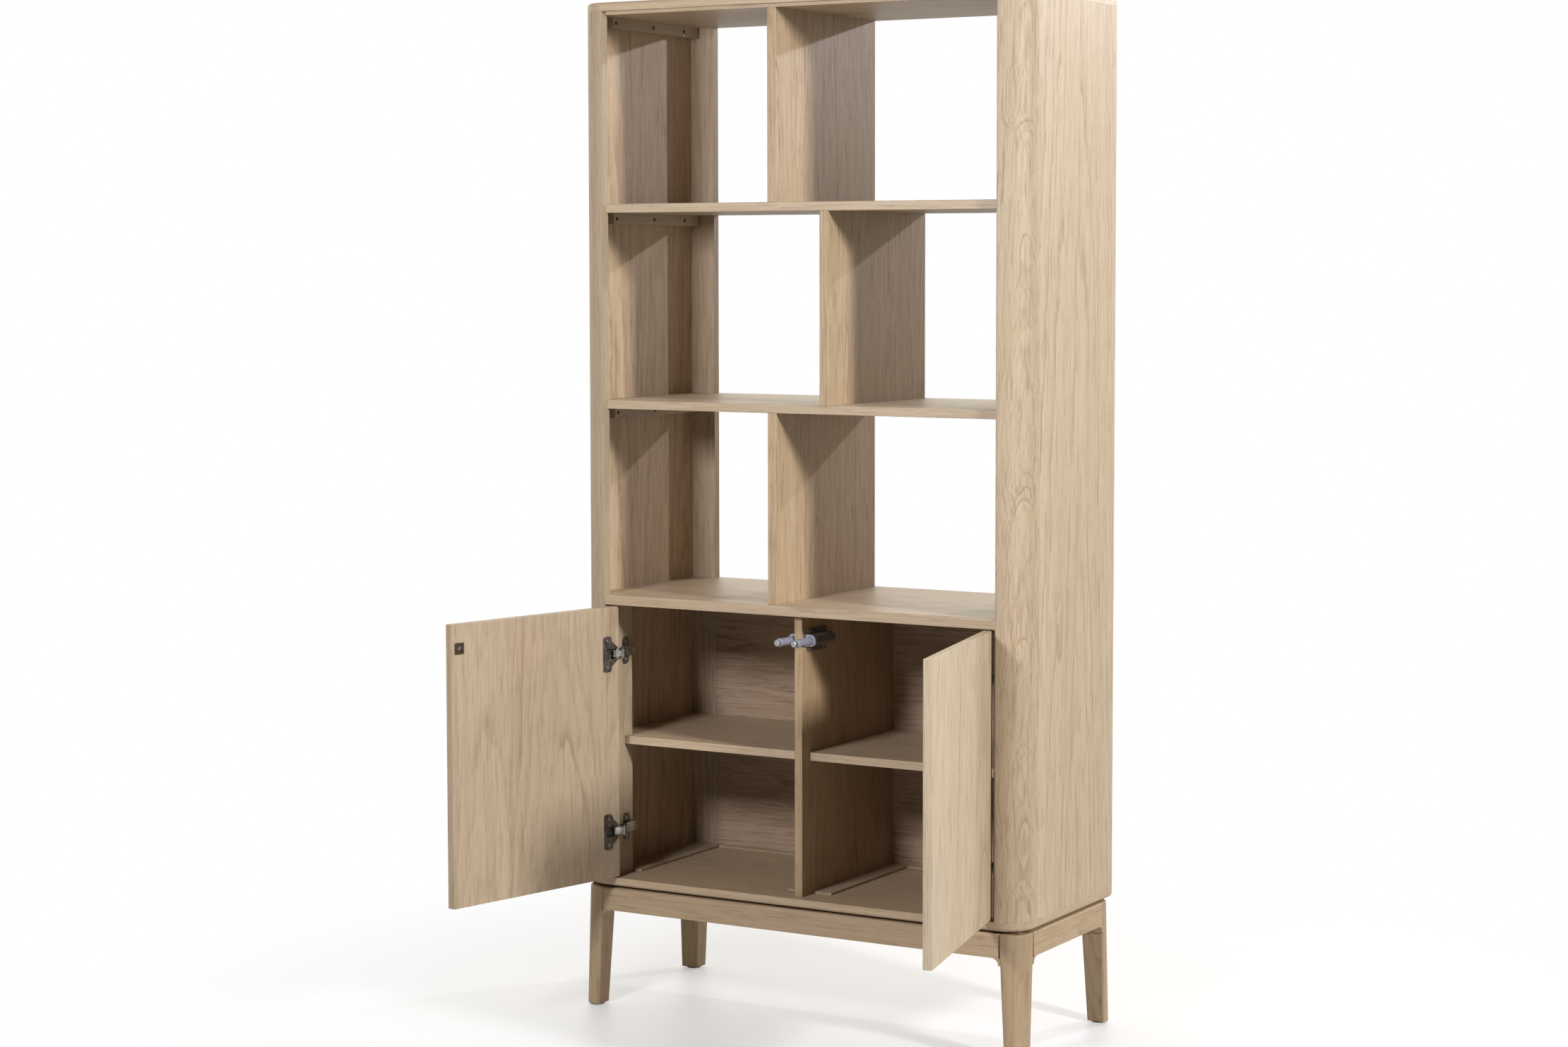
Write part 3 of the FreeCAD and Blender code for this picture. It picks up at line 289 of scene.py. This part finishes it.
    # a hairline where two staves meet
    edge = g.math("SUBTRACT", 0.5, g.math("ABSOLUTE", inside))
    line = g.span(edge, 0.0, SEAM_WIDTH / stave, 1.0, 0.0)
    colour = g.mix(g.math("MULTIPLY", line, SEAM_DARKNESS), colour, toned(140, 114, 86))
    g.put(colour, g.shader.inputs["Base Color"])

    # glossier boards are smoother as well
    smooth = 0.58 - 0.3 * gloss
    rough = g.span(streak, 0.2, 0.8, smooth, smooth + 0.1)
    rough = g.math("ADD", rough, g.math("MULTIPLY", pores, 0.2))
    rough = g.math("SUBTRACT", rough, g.span(cloud, 0.3, 0.8, 0.0, 0.08))
    g.put(rough, g.shader.inputs["Roughness"])
    g.shader.inputs["Specular IOR Level"].default_value = gloss
    height = g.math("ADD", g.math("MULTIPLY", pores, -1.0), g.math("MULTIPLY", band, -0.22))
    height = g.math("ADD", height, g.math("MULTIPLY", tiny, -0.25))
    height = g.math("ADD", height, g.math("MULTIPLY", line, -0.8))
    g.put(g.bump(height, GRAIN_RELIEF, 0.55, g.soft_edge(WOOD_EDGE)), g.shader.inputs["Normal"])
    return g.material


def dress(name, material):
    """Puts the material in every slot of a node's object."""
    slots = nodes[name].data.materials
    if not slots:
        slots.append(material)
    for i in range(len(slots)):
        slots[i] = material


# The doors stand open, so the way across their grain is turned with them
left_across = Vector((-math.cos(DOOR_SWING), math.sin(DOOR_SWING), 0))
right_across = Vector((math.cos(DOOR_SWING), math.sin(DOOR_SWING), 0))

# A stave that is wider than most pieces, for those cut from one length of wood
WHOLE = 0.2
# Most tints in these sets and in the table below are matched to how each board is lit: they carry painted light
# and painted shade besides the wood's tone. The shelves are made paler as painted light on their tops.
SHELF = dict(along=X, across=Y, gloss=0.55, tint=(1.10, 1.08, 1.06))
DIVIDER = dict(along=Z, across=Y, figure=0.9, contrast=1.5, tint=(1.03, 0.97, 0.88))
INNER_SHELF = dict(along=X, across=Y, gloss=0.5, tint=(1.18, 1.16, 1.14))
SIDE = dict(along=Z, across=Y, stave=0.062, figure=0.5, rift=0.09)
CLEAT = dict(along=Y, across=X, stave=WHOLE)
RAIL = dict(across=Z, stave=WHOLE, tint=(1.03, 0.96, 0.87))
UPRIGHT = dict(along=Z, across=X, stave=WHOLE)
# The legs are made darker: painted shade under the case.
LEG_SHADE_TINT = (0.90, 0.84, 0.76)

WOOD = {
    # The top panel and bottom board are made paler: painted light on the top panel's underside and on the bottom
    # board's front.
    "top_panel": dict(along=X, across=Y, gloss=0.5, tint=(1.15, 1.12, 1.08)),
    "bottom_board": dict(along=X, across=Y, tint=(1.12, 1.08, 1.03)),
    "left_front_post": dict(UPRIGHT, figure=1.4, ring=0.0040),
    # The right post is made paler: painted light on the side that faces the key light.
    "right_front_post": dict(UPRIGHT, figure=3.4, ring=0.0046, contrast=1.35, wild=3.2,
                             tint=(1.10, 1.10, 1.10)),
    # The left side panel is made paler: painted fill light in the shade on its inner face.
    "left_side_panel": dict(SIDE, contrast=1.25, tint=(1.19, 1.13, 1.06)),
    # The right side panel is made paler: painted light where the key light falls on it.
    "right_side_panel": dict(SIDE, contrast=1.20, tint=(1.17, 1.18, 1.19)),
    "left_rear_stile": dict(UPRIGHT, figure=0.7),
    "right_rear_stile": dict(UPRIGHT, figure=0.7),
    "upper_shelf": dict(SHELF, figure=0.8),
    "middle_shelf": dict(SHELF, figure=0.8),
    "cabinet_top_shelf": dict(SHELF, figure=0.9),
    "top_row_divider": DIVIDER,
    "middle_row_divider": DIVIDER,
    "lower_row_divider": dict(DIVIDER, tint=(1.10, 1.03, 0.93)),
    # The centre divider is made darker and browner: painted shade inside the closed cabinet.
    "centre_divider": dict(DIVIDER, figure=0.8, contrast=1.3, tint=(0.98, 0.90, 0.78)),
    "cabinet_back_panel": dict(along=X, across=Z, stave=0.17, figure=0.55, ring=0.0036,
                               contrast=1.8, tint=(1.02, 0.96, 0.98)),
    "left_inner_shelf": INNER_SHELF,
    "right_inner_shelf": INNER_SHELF,
    "left_hinge_stile": dict(along=Z, across=Y, stave=WHOLE),
    "right_hinge_stile": dict(along=Z, across=Y, stave=WHOLE),
    "cabinet_floor_battens": CLEAT,
    # Both doors are made paler, the right one most: painted light on the faces that the key light falls on.
    "left_door": dict(along=Z, across=left_across, stave=0.118, figure=1.0, ring=0.0034,
                      contrast=1.15, tint=(1.07, 1.06, 1.06)),
    "right_door": dict(along=Z, across=right_across, stave=0.118, figure=0.7, ring=0.0032,
                       contrast=1.10, tint=(1.20, 1.23, 1.26)),
    "top_cleats": CLEAT,
    "upper_shelf_cleats": CLEAT,
    "middle_shelf_cleats": CLEAT,
    "front_rail": dict(RAIL, along=X),
    "rear_rail": dict(RAIL, along=X),
    "left_side_rail": dict(RAIL, along=Y),
    "right_side_rail": dict(RAIL, along=Y),
    # Each leg has its own tint: the front left leg paler as painted light, the rear left leg darkest as painted
    # shade.
    "front_left_leg": dict(UPRIGHT, tint=(1.08, 1.00, 0.90)),
    "front_right_leg": dict(UPRIGHT, tint=LEG_SHADE_TINT),
    "rear_left_leg": dict(UPRIGHT, tint=(0.86, 0.79, 0.69)),
    "rear_right_leg": dict(UPRIGHT, tint=LEG_SHADE_TINT),
    # The base spacer is made dark: painted shade in the recess where it sits.
    "base_spacer": dict(along=X, across=Y, stave=WHOLE, tint=(0.45, 0.40, 0.35)),
    "wooden_dowels": UPRIGHT,
}
for name, facts in WOOD.items():
    dress(name, oak(name, **facts))


# Metal and plastic
DRAWN = (1500.0, 1500.0, 130.0)
METAL_RELIEF = 0.00008
PLASTIC_RELIEF = 0.00005
SMALL_EDGE = 0.0004
LIT_BAND_BLUR = 0.0005


def metal(name, low, high, rough, metallic=1.0):
    """Plated or zinc-coated steel with fine drawing marks, dull patches and small scratches."""
    rand = random.Random(name)
    g = Graph(name)
    offset = Vector((rand.uniform(0, 9), rand.uniform(0, 9), rand.uniform(0, 9)))
    spot = g.vector_math("ADD", g.place, offset).outputs["Vector"]
    patches = g.noise(spot, 120.0, 4.0, 0.6)
    fine = g.noise(spot, 900.0, 2.0, 0.6)
    g.put(g.mix(g.span(patches, 0.35, 0.68), low, high), g.shader.inputs["Base Color"])
    g.shader.inputs["Metallic"].default_value = metallic
    drawn = [g.math("MULTIPLY", g.dot(spot, axis), scale) for axis, scale in zip((X, Y, Z), DRAWN)]
    marks = g.noise(g.vector(*drawn), 1.0, 2.0, 0.6)
    roughness = g.math("ADD", g.math("MULTIPLY", patches, 0.22), rough - 0.11)
    roughness = g.math("ADD", roughness, g.math("MULTIPLY", marks, 0.10))
    g.put(roughness, g.shader.inputs["Roughness"])
    height = g.math("ADD", g.math("MULTIPLY", marks, 0.4), g.math("MULTIPLY", fine, 0.3))
    g.put(g.bump(height, METAL_RELIEF, 0.6, g.soft_edge(SMALL_EDGE)), g.shader.inputs["Normal"])
    return g.material


def moulded(name, base, lighter, rough, lit_front_band=None):
    """Moulded plastic with a fine spark-eroded grain and slight mould flow. A lit front band,
    painted light, is given as where its front lies in y, how deep it is, and its paler colour."""
    g = Graph(name)
    flow = g.noise(g.place, 60.0, 3.0, 0.5)
    skin = g.noise(g.place, 2600.0, 2.0, 0.6)
    colour = g.mix(g.span(flow, 0.3, 0.7), base, lighter)
    if lit_front_band:
        # The paler band is painted light on the front face that the lamps catch.
        front, depth, pale = lit_front_band
        behind_lit_band = g.span(g.dot(g.place, Y), front + depth, front + depth + LIT_BAND_BLUR)
        colour = g.mix(behind_lit_band, pale, colour)
    g.put(colour, g.shader.inputs["Base Color"])
    g.put(g.math("ADD", g.math("MULTIPLY", flow, 0.16), rough - 0.08), g.shader.inputs["Roughness"])
    g.shader.inputs["Specular IOR Level"].default_value = 0.5
    g.put(g.bump(skin, PLASTIC_RELIEF, 0.5, g.soft_edge(SMALL_EDGE)), g.shader.inputs["Normal"])
    return g.material


# The hinge parts share one nickel plating. The plates and cups are coloured darker as painted shade where they
# sit, and the links paler as painted highlight.
shaded_nickel = metal("dark_nickel", (0.20, 0.18, 0.16), (0.36, 0.34, 0.31), 0.36)
channel = metal("bright_nickel", (0.34, 0.32, 0.30), (0.56, 0.54, 0.51), 0.30)
link_nickel_highlight = metal("link_nickel", (0.40, 0.39, 0.37), (0.62, 0.60, 0.57), 0.27)
zinc = metal("zinc_plate", (0.52, 0.52, 0.51), (0.72, 0.72, 0.71), 0.28)
# The cleat screws are coloured near black: painted shade of the holes they sit in.
screw_hole_shade_steel = metal("blackened_steel", (0.022, 0.017, 0.013), (0.05, 0.04, 0.032), 0.45)
lacquered = metal("brown_lacquered_steel", (0.045, 0.026, 0.014), (0.085, 0.05, 0.028), 0.42,
                  metallic=0.25)
plunger_grey = moulded("plunger_plastic", linear(126, 128, 142), linear(145, 147, 160), 0.42)
# The latch housings are dark with a pale band at their front: the band is painted light on the lit front face, and
# the dark body is partly the plastic's colour and partly painted shade.
housing_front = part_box("latch_housings")[0].y
housing_grey = moulded("housing_plastic", linear(84, 76, 70), linear(100, 92, 86), 0.46,
                       lit_front_band=(housing_front, 0.0045, linear(168, 170, 183)))
cap_grey = moulded("cap_plastic", linear(168, 158, 148), linear(184, 174, 163), 0.4)
glide_black = moulded("glide_plastic", linear(40, 38, 36), linear(54, 51, 48), 0.5)

METAL_AND_PLASTIC = (
    (shaded_nickel, ("hinge_mounting_plates", "left_hinge_cups", "right_hinge_cups")),
    (channel, ("hinge_arms",)),
    (link_nickel_highlight, ("left_hinge_links", "right_hinge_links")),
    (zinc, ("hinge_pins", "hinge_plate_screws", "left_door_screws", "right_door_screws",
            "latch_screws", "left_latch_magnet", "right_latch_magnet", "case_screws",
            "shelf_pins")),
    (screw_hole_shade_steel, ("cleat_screws",)),
    (lacquered, ("left_strike_plate", "right_strike_plate")),
    (plunger_grey, ("left_latch_plunger", "right_latch_plunger")),
    (housing_grey, ("latch_housings",)),
    (cap_grey, ("hinge_cover_caps",)),
    (glide_black, ("foot_glides",)),
)
for material, names in METAL_AND_PLASTIC:
    for name in names:
        dress(name, material)


# Small formed details of the hinges and latches
BLOCK_FACES = ((0, 1, 3, 2), (4, 6, 7, 5), (0, 4, 5, 1), (2, 3, 7, 6), (0, 2, 6, 4), (1, 5, 7, 3))
RING_STEPS = 32


def add_piece(name, build, material, body):
    """Makes a named piece of the finished mesh, and lets it ride on its body."""
    mesh = bpy.data.meshes.new(name)
    build.to_mesh(mesh)
    build.free()
    piece = bpy.data.objects.new(name, mesh)
    bpy.context.scene.collection.objects.link(piece)
    piece.data.materials.append(material)
    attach(piece, body)


def formed(name, blocks, material, body, round_off=0.0003):
    """One piece made of rounded blocks. A block is its middle and three half-extent vectors."""
    build = bmesh.new()
    for middle, u, v, w in blocks:
        corners = [build.verts.new(middle + u * a + v * b + w * c)
                   for a in (-1, 1) for b in (-1, 1) for c in (-1, 1)]
        for loop in BLOCK_FACES:
            build.faces.new([corners[i] for i in loop])
    bmesh.ops.recalc_face_normals(build, faces=build.faces)
    bmesh.ops.bevel(build, geom=list(build.edges), offset=round_off, segments=2, affect="EDGES",
                    clamp_overlap=True)
    for face in build.faces:
        face.smooth = True
    add_piece(name, build, material, body)


def turned(name, centre_line, profile, material, body):
    """A ring turned round a line along Y. The profile is a closed list of (radius, y)."""
    build = bmesh.new()
    rows = []
    for step in range(RING_STEPS):
        angle = 2 * math.pi * step / RING_STEPS
        out = Vector((math.cos(angle), 0, math.sin(angle)))
        rows.append([build.verts.new(centre_line + out * r + Y * y) for r, y in profile])
    for one, two in zip(rows, rows[1:] + rows[:1]):
        for i in range(len(profile)):
            k = (i + 1) % len(profile)
            build.faces.new((one[i], one[k], two[k], two[i]))
    bmesh.ops.recalc_face_normals(build, faces=build.faces)
    add_piece(name, build, material, body)


# A collar with two ridges behind the tip of each plunger. Its bore lies just inside the
# plunger's skin, and its outline is radius and distance behind the tip, in metres.
COLLAR_GRIP = 0.0004
NECK, RIDGE, LIP, LIP_EDGE = 0.0069, 0.0072, 0.0076, 0.0073
COLLAR_START, COLLAR_END = 0.0014, 0.0046
for word in ("left", "right"):
    low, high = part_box(word + "_latch_plunger")
    middle = Vector(((low.x + high.x) / 2, low.y, (low.z + high.z) / 2))
    bore = (high.x - low.x) / 2 - COLLAR_GRIP
    outline = [(bore, COLLAR_START), (NECK, COLLAR_START), (RIDGE, 0.0017), (RIDGE, 0.0023),
               (NECK, 0.0026), (NECK, 0.0029), (LIP_EDGE, 0.0032), (LIP, 0.0035),
               (LIP, 0.0043), (LIP_EDGE, COLLAR_END), (bore, COLLAR_END)]
    turned(word + "_plunger_collar", middle, outline, plunger_grey, word + "_latch")

# Ribs on the links of the upper hinges, and a light cover on those of the lower ones.
# Starts and ends are in metres along the link from its pin, up is from the link's middle,
# and lift is from the pin's line outwards.
LINK_HALF_HEIGHT = 0.0066
EDGE_RIB = dict(start=0.0028, end=0.0158, half_up=0.0007, lift=0.0006, thick=0.0013)
INNER_RIB = dict(start=0.0050, end=0.0140, half_up=0.0005, lift=0.0006, thick=0.0009)
CROSS_RIB = dict(half_up=LINK_HALF_HEIGHT - 0.0008, lift=0.0006, thick=0.0011)
COVER = dict(start=0.0027, end=0.0158, half_up=LINK_HALF_HEIGHT, lift=0.0007, thick=0.0011)
EDGE_UP = LINK_HALF_HEIGHT - EDGE_RIB["half_up"]
INNER_UP = 0.0019
CROSS_STARTS = (0.0030, 0.0146)
CROSS_WIDTH = 0.0010
COVER_ROUNDING = 0.0004
for side, word in ((-1, "left"), (1, "right")):
    pin = joints[word + "_link_turn"]["pos_m"]
    nose = Vector((pin[0], pin[1], 0))
    turn = DOOR_SWING * abs(ratios[word + "_link_turn"])
    reach = Vector((side * math.cos(turn), -math.sin(turn), 0))
    face = Vector((-side * math.sin(turn), -math.cos(turn), 0))
    links_low, links_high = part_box(word + "_hinge_links")
    lower = links_low.z + LINK_HALF_HEIGHT
    upper = links_high.z - LINK_HALF_HEIGHT

    def strip(height, up, start, end, half_up, lift, thick):
        """A block on the outer face of the link whose middle lies at this height."""
        middle = nose + reach * (start + end) / 2 + face * (lift + thick / 2) + Z * (height + up)
        return (middle, reach * (end - start) / 2, Z * half_up, face * thick / 2)

    ribs = [strip(upper, up, **EDGE_RIB) for up in (EDGE_UP, -EDGE_UP)]
    ribs += [strip(upper, up, **INNER_RIB) for up in (INNER_UP, -INNER_UP)]
    ribs += [strip(upper, 0, start, start + CROSS_WIDTH, **CROSS_RIB) for start in CROSS_STARTS]
    formed(word + "_link_ribs", ribs, link_nickel_highlight, word + "_links")
    formed(word + "_link_cover", [strip(lower, 0, **COVER)], cap_grey, word + "_links",
           COVER_ROUNDING)

# Floor. It blends into plain white between two distances from the case. The viewer sees
# it brighter than the light that it throws on the case.
FLOOR_BASE = ((0.41, 0.41, 0.42), (0.44, 0.44, 0.45))
FLOOR_SIZE = 24
FLOOR_DROP = 0.0005
WHITE_FROM, WHITE_BY = 0.5, 1.5
FLOOR_THROWS, FLOOR_SHOWS = 0.26, 0.40
WHITE_THROWS, WHITE_SHOWS = 0.55, 1.0
bpy.ops.mesh.primitive_plane_add(size=FLOOR_SIZE, location=(0, MIDDLE, -FLOOR_DROP))
floor = bpy.context.object
floor.name = "studio_floor"
f = Graph("studio_floor_paint")
mottle = f.noise(f.place, 2.5, 3.0, 0.5)
f.put(f.mix(f.span(mottle, 0.3, 0.7), *FLOOR_BASE), f.shader.inputs["Base Color"])
f.put(f.math("ADD", f.math("MULTIPLY", mottle, 0.12), 0.42), f.shader.inputs["Roughness"])
f.shader.inputs["Specular IOR Level"].default_value = 0.25
f.put(f.bump(f.noise(f.place, 400.0, 2.0, 0.5), 0.0002, 0.15), f.shader.inputs["Normal"])
f.shader.inputs["Emission Color"].default_value = (1.0, 1.0, 1.0, 1.0)
seen = f.tree.nodes.new("ShaderNodeLightPath").outputs["Is Camera Ray"]
f.put(f.span(seen, 0.0, 1.0, FLOOR_THROWS, FLOOR_SHOWS), f.shader.inputs["Emission Strength"])
glow = f.tree.nodes.new("ShaderNodeEmission")
f.put(f.span(seen, 0.0, 1.0, WHITE_THROWS, WHITE_SHOWS), glow.inputs["Strength"])
away = f.vector_math("LENGTH", f.place).outputs["Value"]
blend = f.tree.nodes.new("ShaderNodeMixShader")
f.put(f.span(away, WHITE_FROM, WHITE_BY, 0.0, 1.0, True), blend.inputs[0])
f.tree.links.new(f.shader.outputs[0], blend.inputs[1])
f.tree.links.new(glow.outputs[0], blend.inputs[2])
f.tree.links.new(blend.outputs[0], f.out.inputs[0])
floor.data.materials.append(f.material)

# Room light. The viewer sees plain white, and the case is lit from a white backdrop behind
# it that is brighter than the room in front of it.
ROOM_COLOUR = (1.0, 0.96, 0.86, 1.0)
WHITE = (1.0, 1.0, 1.0, 1.0)
BACKDROP_SIDE = (-0.49, 0.87, 0.0)
BACKDROP_FROM, BACKDROP_FULL = -0.1, 0.8
ROOM_LIGHT, BACKDROP_LIGHT = 0.04, 1.65
world = bpy.data.worlds.new("studio")
world.use_nodes = True
tree = world.node_tree
sky = tree.nodes["Background"]
sky.inputs["Color"].default_value = ROOM_COLOUR
backdrop = tree.nodes.new("ShaderNodeBackground")
backdrop.inputs["Color"].default_value = WHITE
backdrop.inputs["Strength"].default_value = 1.0
toward = tree.nodes.new("ShaderNodeTexCoord")
behind = tree.nodes.new("ShaderNodeVectorMath")
behind.operation = "DOT_PRODUCT"
behind.inputs[1].default_value = BACKDROP_SIDE
tree.links.new(toward.outputs["Generated"], behind.inputs[0])
rear_share = tree.nodes.new("ShaderNodeMapRange")
rear_share.interpolation_type = "SMOOTHSTEP"
tree.links.new(behind.outputs["Value"], rear_share.inputs[0])
limits = (BACKDROP_FROM, BACKDROP_FULL, ROOM_LIGHT, BACKDROP_LIGHT)
for value, socket in zip(limits, list(rear_share.inputs)[1:5]):
    socket.default_value = value
tree.links.new(rear_share.outputs[0], sky.inputs["Strength"])
chooser = tree.nodes.new("ShaderNodeMixShader")
rays = tree.nodes.new("ShaderNodeLightPath")
tree.links.new(rays.outputs["Is Camera Ray"], chooser.inputs[0])
tree.links.new(sky.outputs[0], chooser.inputs[1])
tree.links.new(backdrop.outputs[0], chooser.inputs[2])
tree.links.new(chooser.outputs[0], tree.nodes["World Output"].inputs[0])
bpy.context.scene.world = world


def lamp(name, where, target, size, power, colour):
    """A rectangular lamp that faces its target, with its size in metres and power in watts."""
    data = bpy.data.lights.new(name, "AREA")
    data.shape = "RECTANGLE"
    data.size, data.size_y = size
    data.energy = power
    data.color = colour
    o = bpy.data.objects.new(name, data)
    bpy.context.scene.collection.objects.link(o)
    o.location = where
    o.rotation_euler = (target - where).to_track_quat("-Z", "Y").to_euler()


# The key light comes from the right, the small back light makes the sharp shadows of the
# shelves, and the front light reaches into the cabinet.
lamp("key", where=place(4.385, -1.34, 2.55), target=place(0, 0, 0.95), size=(0.45, 0.60),
     power=216, colour=(1.0, 1.0, 1.0))
lamp("back", where=place(1.24, 2.89, 2.47), target=place(0, 0, 1.0), size=(0.06, 0.06),
     power=48, colour=(0.86, 0.84, 0.93))
lamp("front", where=place(-0.22, -2.52, 1.78), target=place(0, 0, 0.9), size=(0.45, 0.45),
     power=52, colour=(0.90, 0.90, 0.96))

# Camera, at the place that was solved from the photo
data = bpy.data.cameras.new("camera")
data.sensor_width = 36.0
data.lens = 69.744
data.shift_x = -0.04165
data.shift_y = -0.02213
data.clip_end = 60
camera = bpy.data.objects.new("camera", data)
bpy.context.scene.collection.objects.link(camera)
camera.location = place(2.7119, -4.7786, 1.3664)
camera.rotation_euler = (math.radians(85.798), 0, math.radians(29.493))
bpy.context.scene.camera = camera
bpy.context.scene.view_settings.view_transform = "Standard"
